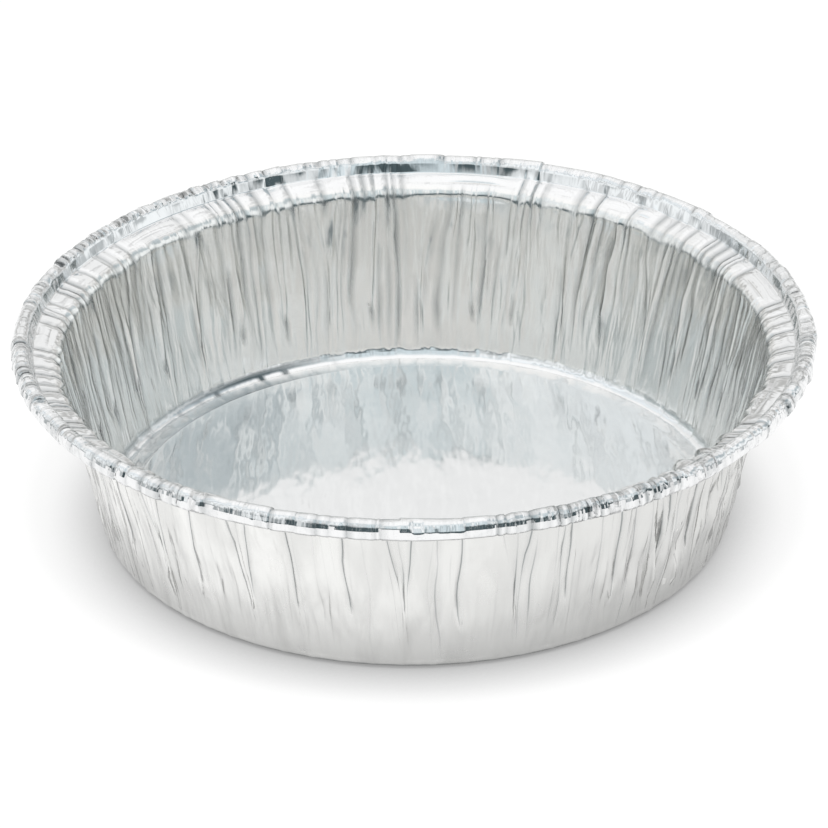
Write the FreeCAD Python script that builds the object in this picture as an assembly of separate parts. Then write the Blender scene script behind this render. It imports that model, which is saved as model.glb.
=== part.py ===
"""Aluminium weighing dish, in millimetres: one disc of foil pressed into a round dish with gathered walls.

+Z is up, and the origin is on the table at the centre of the foot.
The foil has two faces. The top face is the one the sample touches. It runs over the rim and is the
outside of the curl. The under face is one foil thickness to its right, seen along the section from
the centre to the free edge. Every radius named here is of the top face.
"""
import FreeCAD
import Part

import math
import os

# Overall sizes
RIM_DIAMETER = 105.0
HEIGHT = 27.1
FOIL = 0.1

# Floor and corner
PANEL_RISE = 0.4
PANEL_SLOPE = 45.0
PANEL_BEND_RADIUS = 0.4
FOOT_RING_WIDTH = 1.9
CORNER_RADIUS = 1.4

# Wall and ledge: the ledge falls towards the bowl, and its drop is from the rim's top to its outer end
WALL_ANGLE = 11.4
SHOULDER_RADIUS = 2.3
LEDGE_WIDTH = 1.85
LEDGE_SLOPE = 16.0
LEDGE_DROP = 2.05

# Step and curled rim: the curl is flattened on its outer side, which leans towards the bowl
STEP_BEND_RADIUS = 0.3
STEP_ANGLE = 19.0
CURL_TOP_RADIUS = 1.2
CURL_OUTER_RADIUS = 1.0
CURL_SIDE_LEAN = 20.0
CURL_SIDE_RUN = 0.5
CURL_BOTTOM_RADIUS = 1.2
CURL_TUCK_ANGLE = 150.0

# Folds of the gathered wall: their number, and how deep, wide, uneven, slanted and long they are
FOLD_COUNT = 132
FOLD_DEPTH = 0.42
SHALLOWEST_FOLD = 0.2
LEDGE_FOLD_DEPTH = 0.16
FOLD_HALF_WIDTH = 1.1
FOLD_WIDTH_SPREAD = 0.5
FOLD_SHIFT = 0.9
FOLD_SLANT = 0.8
SMOOTH_FOOT = 5.0
FOLD_FOOT_SPREAD = 11.0
FOLD_GROWTH = 11.0
SMOOTH_LEDGE = 0.9

# How closely the gathered foil follows its folds: columns for each fold, and rows up each stretch
COLUMNS_PER_FOLD = 5
WALL_ROWS = 9
SHOULDER_ROWS = 6
LEDGE_ROWS = 4
SURFACE_DEGREE = 3

GOLDEN = (math.sqrt(5) - 1) / 2
FULL_TURN = 360.0
UP = 90.0
AXIS_BASE = FreeCAD.Vector(0, 0, 0)
AXIS = FreeCAD.Vector(0, 0, 1)


class Section:
    """A walk along the foil's section in the XZ plane, which keeps one edge for each run or bend."""

    def __init__(self, x, z, heading, side):
        self.point = FreeCAD.Vector(x, 0, z)
        self.heading = math.radians(heading)
        self.side = side
        self.edges = []

    def shifted(self, point, heading):
        """The point moved to the right of the heading by this walk's side."""
        right = FreeCAD.Vector(math.sin(heading), 0, -math.cos(heading))
        return point + right * self.side

    def run(self, length):
        """Go straight on."""
        ahead = FreeCAD.Vector(math.cos(self.heading), 0, math.sin(self.heading))
        end = self.point + ahead * length
        edge = Part.LineSegment(self.shifted(self.point, self.heading), self.shifted(end, self.heading))
        self.edges.append(edge.toShape())
        self.point = end

    def bend(self, radius, degrees):
        """Turn on an arc: left, or up from the floor, where degrees is more than zero."""
        turn = math.radians(degrees)
        toward = math.copysign(radius, turn)
        left = FreeCAD.Vector(-math.sin(self.heading), 0, math.cos(self.heading))
        centre = self.point + left * toward
        stops = []
        for share in (0, 0.5, 1):
            heading = self.heading + turn * share
            on_arc = centre + FreeCAD.Vector(math.sin(heading), 0, -math.cos(heading)) * toward
            stops.append(self.shifted(on_arc, heading))
            self.point = on_arc
        self.heading += turn
        self.edges.append(Part.Arc(*stops).toShape())


def bend_rise(radius, from_angle, to_angle):
    """Height gained on a bend between two headings, in degrees above level."""
    return radius * abs(math.cos(math.radians(from_angle)) - math.cos(math.radians(to_angle)))


def bend_reach(radius, from_angle, to_angle):
    """Distance gained outward on a bend between two headings, in degrees above level."""
    return radius * abs(math.sin(math.radians(from_angle)) - math.sin(math.radians(to_angle)))


WALL_HEADING = UP - WALL_ANGLE
STEP_HEADING = UP - STEP_ANGLE
LEDGE_END_Z = HEIGHT - LEDGE_DROP
CURL_SIDE_HEADING = UP - CURL_SIDE_LEAN

# The rim, worked inward from the outside of the curl to the outer end of the ledge
step_rise = (
    LEDGE_DROP
    - bend_rise(STEP_BEND_RADIUS, LEDGE_SLOPE, STEP_HEADING)
    - bend_rise(CURL_TOP_RADIUS, STEP_HEADING, 0)
)
step_run = step_rise / math.cos(math.radians(STEP_ANGLE))
rim_reach = (
    bend_reach(STEP_BEND_RADIUS, LEDGE_SLOPE, STEP_HEADING)
    + step_run * math.sin(math.radians(STEP_ANGLE))
    + bend_reach(CURL_TOP_RADIUS, STEP_HEADING, 0)
    + bend_reach(CURL_OUTER_RADIUS, 0, CURL_SIDE_HEADING)
    + CURL_SIDE_RUN * math.sin(math.radians(CURL_SIDE_LEAN))
    + bend_reach(CURL_BOTTOM_RADIUS, CURL_SIDE_HEADING, UP)
)
ledge_end_r = RIM_DIAMETER / 2 - rim_reach

# The gathered foil, worked down from the ledge over the shoulder to the top of the corner
ledge_length = LEDGE_WIDTH / math.cos(math.radians(LEDGE_SLOPE))
shoulder_end_r = ledge_end_r - LEDGE_WIDTH
shoulder_end_z = LEDGE_END_Z - LEDGE_WIDTH * math.tan(math.radians(LEDGE_SLOPE))
shoulder_turn = WALL_HEADING - LEDGE_SLOPE
shoulder_length = SHOULDER_RADIUS * math.radians(shoulder_turn)
corner_end_z = FOIL + bend_rise(CORNER_RADIUS, 0, WALL_HEADING)
wall_rise = shoulder_end_z - bend_rise(SHOULDER_RADIUS, WALL_HEADING, LEDGE_SLOPE) - corner_end_z
wall_length = wall_rise / math.cos(math.radians(WALL_ANGLE))
wall_reach = wall_rise * math.tan(math.radians(WALL_ANGLE))
corner_end_r = shoulder_end_r - bend_reach(SHOULDER_RADIUS, WALL_HEADING, LEDGE_SLOPE) - wall_reach
gathered_length = wall_length + shoulder_length + ledge_length

# The floor, worked inward from the corner to the edge of the raised panel
foot_radius = corner_end_r - bend_reach(CORNER_RADIUS, 0, WALL_HEADING)
panel_run_rise = PANEL_RISE - 2 * bend_rise(PANEL_BEND_RADIUS, 0, PANEL_SLOPE)
panel_run = panel_run_rise / math.sin(math.radians(PANEL_SLOPE))
panel_step_reach = 2 * bend_reach(PANEL_BEND_RADIUS, 0, PANEL_SLOPE)
panel_step_reach += panel_run * math.cos(math.radians(PANEL_SLOPE))
panel_radius = foot_radius - FOOT_RING_WIDTH - panel_step_reach


def floor_section(side):
    """Raised centre panel, its small slope, the flat foot ring and the corner."""
    walk = Section(0, FOIL + PANEL_RISE, 0, side)
    walk.run(panel_radius)
    walk.bend(PANEL_BEND_RADIUS, -PANEL_SLOPE)
    walk.run(panel_run)
    walk.bend(PANEL_BEND_RADIUS, PANEL_SLOPE)
    walk.run(FOOT_RING_WIDTH)
    walk.bend(CORNER_RADIUS, WALL_HEADING)
    return walk.edges


def rim_section(side):
    """Step up from the ledge, then the foil curled outward and down, with its free edge tucked in under."""
    walk = Section(ledge_end_r, LEDGE_END_Z, LEDGE_SLOPE, side)
    walk.bend(STEP_BEND_RADIUS, STEP_HEADING - LEDGE_SLOPE)
    walk.run(step_run)
    walk.bend(CURL_TOP_RADIUS, -STEP_HEADING)
    walk.bend(CURL_OUTER_RADIUS, -CURL_SIDE_HEADING)
    walk.run(CURL_SIDE_RUN)
    walk.bend(CURL_BOTTOM_RADIUS, -CURL_SIDE_LEAN - CURL_TUCK_ANGLE)
    return walk.edges


def revolved(edges):
    """The faces that some section edges sweep round the dish's axis."""
    return [edge.revolve(AXIS_BASE, AXIS, FULL_TURN) for edge in edges]


def free_edge():
    """The cut edge of the foil, under the curl."""
    top_end = rim_section(0)[-1].lastVertex().Point
    under_end = rim_section(FOIL)[-1].lastVertex().Point
    return revolved([Part.LineSegment(top_end, under_end).toShape()])


def scatter(index, stride):
    """An even scatter between 0 and 1 that never repeats."""
    return (index * stride * GOLDEN) % 1.0


def smooth(value):
    """An ease from 0 to 1 as the value goes from 0 to 1."""
    value = min(max(value, 0.0), 1.0)
    return value * value * (3 - 2 * value)


def gathered_path():
    """Rows up the wall, over the shoulder and out along the ledge: distance, place and lean of each."""
    rows = []
    lean = math.radians(WALL_ANGLE)
    for row in range(WALL_ROWS):
        along = wall_length * row / WALL_ROWS
        r = corner_end_r + along * math.sin(lean)
        z = corner_end_z + along * math.cos(lean)
        rows.append((along, r, z, lean))
    for row in range(SHOULDER_ROWS):
        turned = shoulder_turn * row / SHOULDER_ROWS
        along = wall_length + SHOULDER_RADIUS * math.radians(turned)
        r = shoulder_end_r - bend_reach(SHOULDER_RADIUS, WALL_HEADING - turned, LEDGE_SLOPE)
        z = shoulder_end_z - bend_rise(SHOULDER_RADIUS, WALL_HEADING - turned, LEDGE_SLOPE)
        rows.append((along, r, z, lean + math.radians(turned)))
    slope = math.radians(LEDGE_SLOPE)
    for row in range(LEDGE_ROWS + 1):
        along = ledge_length * row / LEDGE_ROWS
        r = shoulder_end_r + along * math.cos(slope)
        z = shoulder_end_z + along * math.sin(slope)
        rows.append((wall_length + shoulder_length + along, r, z, math.radians(UP) - slope))
    return rows


def fold_height(fold, along):
    """How far one fold stands off the foil at a distance up the wall: odd folds stand out, even ones in."""
    depth = SHALLOWEST_FOLD + (FOLD_DEPTH - SHALLOWEST_FOLD) * scatter(fold, 7)
    settled = smooth((along - wall_length) / shoulder_length)
    depth += (LEDGE_FOLD_DEPTH - FOLD_DEPTH) * settled * depth / FOLD_DEPTH
    start = SMOOTH_FOOT + FOLD_FOOT_SPREAD * scatter(fold, 5) ** 2
    height = depth * smooth((along - start) / FOLD_GROWTH)
    return height if fold % 2 else -height


def fold_offset(turn, along):
    """How far the folds push the foil outward, at a share of a turn round it and a distance up the wall."""
    pitch = 2 * math.pi * corner_end_r / FOLD_COUNT
    nearest = round(turn * FOLD_COUNT)
    offset = 0.0
    for index in range(nearest - 1, nearest + 2):
        fold = index % FOLD_COUNT
        slant = FOLD_SLANT * (scatter(fold, 3) - 0.5) * (1 - along / gathered_length)
        shift = FOLD_SHIFT * (scatter(fold, 1) - 0.5) + slant
        away = abs((turn * FOLD_COUNT - index) * pitch - shift)
        half_width = FOLD_HALF_WIDTH + FOLD_WIDTH_SPREAD * scatter(fold, 2)
        offset += fold_height(fold, along) * (1 - smooth(away / half_width))
    return offset * smooth((gathered_length - along) / SMOOTH_LEDGE)


def gathered_face(side):
    """One face of the gathered foil, a smooth surface over a net of points."""
    columns = FOLD_COUNT * COLUMNS_PER_FOLD
    column_turn = 2 * math.pi / columns
    inside_curve = 3 / (2 + math.cos(column_turn))
    rows = gathered_path()
    net = []
    for column in range(columns):
        angle = column_turn * column
        line = []
        for along, r, z, lean in rows:
            push = side + fold_offset(column / columns, along)
            place_r = (r + push * math.cos(lean)) * inside_curve
            place_z = z - push * math.sin(lean)
            line.append(FreeCAD.Vector(place_r * math.cos(angle), place_r * math.sin(angle), place_z))
        net.append(line)
    turn_knots = list(range(columns + 1))
    rise_knots = list(range(len(rows) - SURFACE_DEGREE + 1))
    rise_mults = [SURFACE_DEGREE + 1] + [1] * (len(rise_knots) - 2) + [SURFACE_DEGREE + 1]
    surface = Part.BSplineSurface()
    surface.buildFromPolesMultsKnots(
        net,
        [1] * len(turn_knots),
        rise_mults,
        turn_knots,
        rise_knots,
        True,
        False,
        SURFACE_DEGREE,
        SURFACE_DEGREE,
    )
    return surface.toShape()


def dish():
    """The whole foil as one closed solid."""
    faces = []
    for side in (0, FOIL):
        faces += revolved(floor_section(side))
        faces.append(gathered_face(side))
        faces += revolved(rim_section(side))
    faces += free_edge()
    shell = Part.makeShell(faces)
    shell.sewShape()
    return Part.makeSolid(shell)


os.makedirs("parts", exist_ok=True)
dish().exportStep("parts/dish.step")
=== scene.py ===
"""Foil weighing dish: one disc of aluminium foil pressed into a round dish, with its stage.

The dish is built as one closed sheet of foil. A walk along its section gives rings of points, from the
centre of the floor up the gathered wall, out over the shoulder and ledge, and round the curled rim.
Folds, crimps and dents push those rings in or out. The under face follows a foil thickness away.
All lengths are in metres, and angles in the sizes are in degrees.
"""
import math

import bpy
import numpy as np
from bpy.props import FloatProperty, FloatVectorProperty, IntProperty, PointerProperty
from mathutils import Matrix, Vector


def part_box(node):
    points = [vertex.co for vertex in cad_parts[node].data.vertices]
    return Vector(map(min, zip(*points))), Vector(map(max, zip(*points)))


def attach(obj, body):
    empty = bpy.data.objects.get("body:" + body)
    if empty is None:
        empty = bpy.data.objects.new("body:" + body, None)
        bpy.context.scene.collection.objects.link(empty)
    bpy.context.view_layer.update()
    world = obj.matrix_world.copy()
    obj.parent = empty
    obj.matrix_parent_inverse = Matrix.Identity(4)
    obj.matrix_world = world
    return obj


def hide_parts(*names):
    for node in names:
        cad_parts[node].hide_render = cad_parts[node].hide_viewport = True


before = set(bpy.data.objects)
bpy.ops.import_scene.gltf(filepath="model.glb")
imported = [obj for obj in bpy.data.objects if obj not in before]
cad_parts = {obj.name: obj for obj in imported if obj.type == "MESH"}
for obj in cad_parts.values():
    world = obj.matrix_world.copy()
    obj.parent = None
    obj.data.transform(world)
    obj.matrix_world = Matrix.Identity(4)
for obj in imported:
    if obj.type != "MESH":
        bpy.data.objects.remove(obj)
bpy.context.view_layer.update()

bl_info = {
    "name": "Foil weighing dish",
    "version": (1, 0, 0),
    "blender": (4, 5, 0),
    "location": "View3D > Sidebar > Foil dish",
    "description": "Builds a gathered foil weighing dish and a plain studio stage for it",
    "category": "Add Mesh",
}

MM = 0.001
DISH_NODE = "dish"
DISH_LOW, DISH_HIGH = (Vector(corner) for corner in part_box(DISH_NODE))
RIM_RADIUS = (DISH_HIGH.x - DISH_LOW.x) / 2
RIM_TOP = DISH_HIGH.z
TABLE_Z = DISH_LOW.z
FULL_TURN = 2 * math.pi

TABLE_HALF_SIDE = 4.0
TABLE_GAP = 0.02 * MM
# How far in front of the dish the softbox hangs, as a share of its height.
SOFTBOX_FORWARD = 0.18
SENSOR_WIDTH = 36.0
# The point that the camera looks at.
AIM = Vector((-0.095 * MM, 0.0, 13.4 * MM))
# Name and direction of the tent's faces, and how far from that direction each starts and is whole.
TENT_FACES = (("far", 90.0, 62.0, 46.0), ("beside", -85.0, 62.0, 42.0), ("near", -88.0, 32.0, 10.0))
# Noise values between which a fold of the tent's cloth darkens, and heights between which folds end.
SEAM_EDGES = (0.45, 0.65)
SEAM_TOPS = (0.8, 0.96)


def setting(kind, **limits):
    """A maker of one kind of value that a user may change."""
    return lambda name, description, default: kind(
        name=name, description=description, default=default, **limits
    )


length = setting(FloatProperty, min=0.0, unit="LENGTH", precision=5)
factor = setting(FloatProperty, min=0.0, max=1.0, subtype="FACTOR")
colour = setting(FloatVectorProperty, size=3, min=0.0, max=1.0, subtype="COLOR")
angle = number = setting(FloatProperty)
whole = setting(IntProperty)


class SectionSizes(bpy.types.PropertyGroup):
    """The foil's section, from the floor to the free edge of the curl."""

    foil: length("Foil", "Thickness of the foil", 0.1 * MM)
    panel_rise: length("Panel rise", "How far the centre panel stands above the foot ring", 0.4 * MM)
    panel_slope: angle("Panel slope", "Slope of the step down to the foot ring", 45.0)
    panel_bend: length("Panel bend", "Radius at the top and bottom of that step", 0.4 * MM)
    foot_ring: length("Foot ring", "Width of the flat ring that stands on the table", 1.9 * MM)
    corner: length("Corner", "Inside radius between floor and wall", 1.4 * MM)
    wall_angle: angle("Wall angle", "Lean of the wall away from upright", 11.4)
    shoulder: length("Shoulder", "Radius between wall and ledge", 2.3 * MM)
    ledge: length("Ledge", "Width of the ledge, measured level", 1.85 * MM)
    ledge_slope: angle("Ledge slope", "Fall of the ledge towards the bowl", 16.0)
    ledge_drop: length("Ledge drop", "Depth of the ledge's outer end below the top of the curl", 2.05 * MM)
    step_bend: length("Step bend", "Radius at the foot of the step", 0.3 * MM)
    step_angle: angle("Step angle", "Lean of the step away from upright", 19.0)
    curl_top: length("Curl top", "Radius of the inner half of the curl's top", 1.2 * MM)
    curl_outer: length("Curl outer", "Radius of the outer half of the curl's top", 1.0 * MM)
    curl_lean: angle("Curl lean", "Lean of the curl's flat outer side towards the bowl", 20.0)
    curl_side: length("Curl side", "Length of that flat side", 0.5 * MM)
    curl_bottom: length("Curl bottom", "Radius under the curl", 1.2 * MM)
    curl_tuck: angle("Curl tuck", "How far the foil turns in under the curl", 150.0)


class FoldSizes(bpy.types.PropertyGroup):
    """The folds of the gathered wall and the crimps of the ledge and rim."""

    seed: whole("Seed", "Picks another set of chance folds", 7)
    pleats: whole("Pleats", "Main pleats pressed by the die", 40)
    pleat_turn: angle("Pleat turn", "Place of one main pleat round the dish", -92.5)
    creases: whole("Creases", "Chance creases between two main pleats", 5)
    pleat_depth: length("Pleat depth", "Depth of a main pleat", 0.22 * MM)
    crease_depth: length("Crease depth", "Depth of the deepest chance crease", 0.16 * MM)
    fold: length("Fold", "Depth of the soft upright folds on the right", 0.5 * MM)
    lean: length("Lean", "How far the foil between two creases leans to one side", 0.06 * MM)
    swell: length("Swell", "Height of the soft waves of the wall", 0.06 * MM)
    tip_bulge: length("Tip bulge", "Height of the bulge below the tip of a main pleat", 0.26 * MM)
    bulge: length("Bulge", "Height of the soft dents and bulges of the wall", 0.08 * MM)
    ledge_crimp: length("Ledge crimp", "Depth of the crimps across the ledge", 0.12 * MM)
    rim_crimp: length("Rim crimp", "Depth of the crimps across the curl", 0.1 * MM)
    dent_depth: length("Dent depth", "Depth of the one dent in the front of the curl", 0.45 * MM)
    dent_place: length("Dent place", "From the top of the step over the curl to that dent", 2.3 * MM)
    corner_dents: whole("Corner dents", "Small dents round the corner", 68)
    corner_dent: length("Corner dent", "Depth of a corner dent", 0.1 * MM)


class FoilFinish(bpy.types.PropertyGroup):
    """Colour and gloss of the foil, with the colour of its painted shade."""

    metal: colour("Metal", "Colour of the foil", (0.92, 0.925, 0.93))
    # Painted reflection tint: warmer than the rest of the foil, standing in for the warm surroundings that
    # the wall mirrors.
    wall: colour("Wall", "Colour of the bowl's wall", (0.928, 0.924, 0.907))
    outside: colour("Outside", "Colour of the foil's under face", (0.93, 0.93, 0.915))
    # Painted shade: dark specks on the crumpled ledge and rim that stand in for tiny facets turned to darker
    # surroundings.
    speck_shade: colour("Fleck", "Colour of the small dull spots on the ledge and rim", (0.3, 0.33, 0.34))
    # Painted shade: the colour mixed in where a crease, a nick or the corner is marked dark, standing in for
    # the shade and dark reflections there.
    painted_shade: colour("Crevice", "Colour at the bottom of a tight crease", (0.1, 0.13, 0.14))
    wall_roughness: factor("Wall roughness", "Blur of the wall", 0.2)
    rim_roughness: factor("Rim roughness", "Blur of the ledge and the rim", 0.06)
    floor_roughness: factor("Floor roughness", "Blur of the floor", 0.12)


class StageLook(bpy.types.PropertyGroup):
    """Table, light and camera."""

    table: colour("Table", "Colour of the table", (0.1, 0.1, 0.098))
    table_glow: factor("Table glow", "White added to the table where it is seen or mirrored", 0.95)
    # Painted shadow: the table's added white is cut near the dish by ambient occlusion, where it is seen and
    # where the foil mirrors it.
    painted_shadow: factor("Contact", "How much of that white is lost right beside the dish", 0.71)
    painted_shadow_reach: length("Contact reach", "How far from the dish that loss is felt", 10.5 * MM)
    mirrored_painted_shadow: factor("Mirrored contact", "The same loss, where the foil mirrors the table", 0.72)
    mirrored_shadow_reach: length("Mirrored reach", "How far from the dish that loss is felt", 15.5 * MM)
    sky: colour("Sky", "Colour of the light tent overhead", (1.0, 1.0, 1.0))
    sky_strength: number("Sky strength", "Strength of the tent where it is seen", 1.09)
    sky_fill: number("Sky fill", "Strength of the tent's light on the table", 0.1)
    near_wall: colour("Near wall", "Colour low down behind the camera", (0.08, 0.11, 0.12))
    near_sky: colour("Near sky", "Colour half way up behind the camera", (0.65, 0.735, 0.77))
    beside_sky: colour("Beside sky", "Colour half way up to either side of that", (0.93, 0.96, 0.97))
    far_wall: colour("Far wall", "Colour low down beyond the dish", (0.51, 0.51, 0.5))
    far_sky: colour("Far sky", "Colour half way up beyond the dish", (0.88, 0.882, 0.878))
    side_wall: colour("Side wall", "Colour low down on both sides", (0.92, 0.95, 0.96))
    left_sky: colour("Left sky", "Colour half way up on the left", (0.92, 0.97, 1.0))
    right_sky: colour("Right sky", "Colour half way up on the right", (0.5, 0.56, 0.59))
    seams: factor("Seams", "How much darker the folds of the tent's cloth are", 0.3)
    softbox_size: length("Softbox size", "Side of the square lamp overhead", 0.2)
    softbox_height: length("Softbox height", "Height of that lamp", 0.9)
    softbox_power: number("Softbox power", "Power of that lamp", 8.6)
    lens: number("Lens", "Focal length in millimetres", 173.9)
    look_down: angle("Look down", "Angle that the camera looks down at", 28.78)
    distance: length("Distance", "From the camera to the point it looks at", 0.5289)
    roll: angle("Roll", "Turn of the camera about its line of sight", -0.69)


class Walk:
    """A walk along the foil's section that collects ring places on its top face."""

    def __init__(self, radius, height, heading):
        self.place = np.array([radius, height])
        self.heading = heading
        self.along = 0.0
        self.rings = []

    def mark(self):
        """Keep a ring at this place."""
        right = (math.sin(self.heading), -math.cos(self.heading))
        self.rings.append((*self.place, *right, self.along))

    def run(self, distance, rings, guard=0.0):
        """Go straight on, with even rings, and one more at each end that keeps the bends there crisp."""
        ahead = np.array([math.cos(self.heading), math.sin(self.heading)])
        steps = [guard] + [(distance - 2 * guard) / rings] * rings + [guard]
        for step in filter(None, steps):
            self.place = self.place + ahead * step
            self.along += step
            self.mark()

    def bend(self, radius, degrees, rings):
        """Turn on an arc: left, or up from the floor, where degrees is more than zero."""
        turn = math.radians(degrees)
        toward = math.copysign(radius, turn)
        centre = self.place + toward * np.array([-math.sin(self.heading), math.cos(self.heading)])
        for _ in range(rings):
            self.heading += turn / rings
            self.place = centre + toward * np.array([math.sin(self.heading), -math.cos(self.heading)])
            self.along += radius * abs(turn) / rings
            self.mark()


def sine(degrees):
    """Sine of an angle in degrees."""
    return math.sin(math.radians(degrees))


def cosine(degrees):
    """Cosine of an angle in degrees."""
    return math.cos(math.radians(degrees))


def rise(radius, start, end):
    """Height gained on a bend between two headings in degrees."""
    return radius * abs(cosine(start) - cosine(end))


def reach(radius, start, end):
    """Distance gained outward on a bend between two headings in degrees."""
    return radius * abs(sine(start) - sine(end))


class Section:
    """The whole section of the dish as rings, with the distances at which its stretches begin."""

    GUARD = 0.15 * MM

    def __init__(self, sizes):
        wall_heading = 90 - sizes.wall_angle
        step_heading = 90 - sizes.step_angle
        side_heading = 90 - sizes.curl_lean
        wall_lean = math.tan(math.radians(sizes.wall_angle))
        fall = sizes.ledge_slope
        shoulder_top = RIM_TOP - sizes.ledge_drop - sizes.ledge * math.tan(math.radians(fall))

        step_rise = sizes.ledge_drop - rise(sizes.step_bend, fall, step_heading)
        step_rise -= rise(sizes.curl_top, step_heading, 0)
        step_run = step_rise / cosine(sizes.step_angle)
        rim_reach = reach(sizes.step_bend, fall, step_heading) + step_run * sine(sizes.step_angle)
        rim_reach += reach(sizes.curl_top, step_heading, 0) + reach(sizes.curl_outer, 0, side_heading)
        rim_reach += sizes.curl_side * sine(sizes.curl_lean)
        rim_reach += reach(sizes.curl_bottom, side_heading, 90)
        shoulder_end = RIM_RADIUS - rim_reach - sizes.ledge

        corner_top = sizes.foil + rise(sizes.corner, 0, wall_heading)
        wall_rise = shoulder_top - TABLE_Z - rise(sizes.shoulder, wall_heading, fall) - corner_top
        wall_end = shoulder_end - reach(sizes.shoulder, wall_heading, fall)
        foot_radius = wall_end - wall_rise * wall_lean - reach(sizes.corner, 0, wall_heading)

        panel_drop = sizes.panel_rise - 2 * rise(sizes.panel_bend, 0, sizes.panel_slope)
        panel_run = panel_drop / sine(sizes.panel_slope)
        step_reach = 2 * reach(sizes.panel_bend, 0, sizes.panel_slope) + panel_run * cosine(sizes.panel_slope)
        self.panel_radius = foot_radius - sizes.foot_ring - step_reach
        self.panel_z = TABLE_Z + sizes.foil + sizes.panel_rise

        walk = Walk(self.panel_radius, self.panel_z, 0.0)
        walk.mark()
        walk.bend(sizes.panel_bend, -sizes.panel_slope, rings=2)
        walk.run(panel_run, rings=1)
        walk.bend(sizes.panel_bend, sizes.panel_slope, rings=2)
        self.ring_start = walk.along
        walk.run(sizes.foot_ring, rings=1, guard=self.GUARD)
        self.corner_start = walk.along
        walk.bend(sizes.corner, wall_heading, rings=5)
        self.wall_start = walk.along
        walk.run(wall_rise / cosine(sizes.wall_angle), rings=12, guard=2 * self.GUARD)
        self.shoulder_start = walk.along
        walk.bend(sizes.shoulder, fall - wall_heading, rings=6)
        self.ledge_start = walk.along
        walk.run(sizes.ledge / cosine(fall), rings=2, guard=self.GUARD)
        self.step_start = walk.along
        walk.bend(sizes.step_bend, step_heading - fall, rings=2)
        walk.run(step_run, rings=1)
        self.curl_start = walk.along
        walk.bend(sizes.curl_top, -step_heading, rings=5)
        walk.bend(sizes.curl_outer, -side_heading, rings=5)
        walk.run(sizes.curl_side, rings=1, guard=0.5 * self.GUARD)
        walk.bend(sizes.curl_bottom, -sizes.curl_lean - sizes.curl_tuck, rings=5)
        self.end = walk.along
        self.radius, self.height, self.right_r, self.right_z, self.along = np.array(walk.rings).T


def ease(low, high, value):
    """A smooth climb from 0 at low to 1 at high."""
    share = np.clip((value - low) / (high - low), 0.0, 1.0)
    return share * share * (3 - 2 * share)


def hump(centre, half_width, value):
    """A smooth hump of height 1 that is 0 past its half width."""
    return 1 - ease(0, half_width, np.abs(value - centre))


def humps(places, degrees):
    """The sum of the humps that a table of places, half widths and heights gives."""
    return sum(height * hump(place, half_width, degrees) for place, half_width, height in places)


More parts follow.
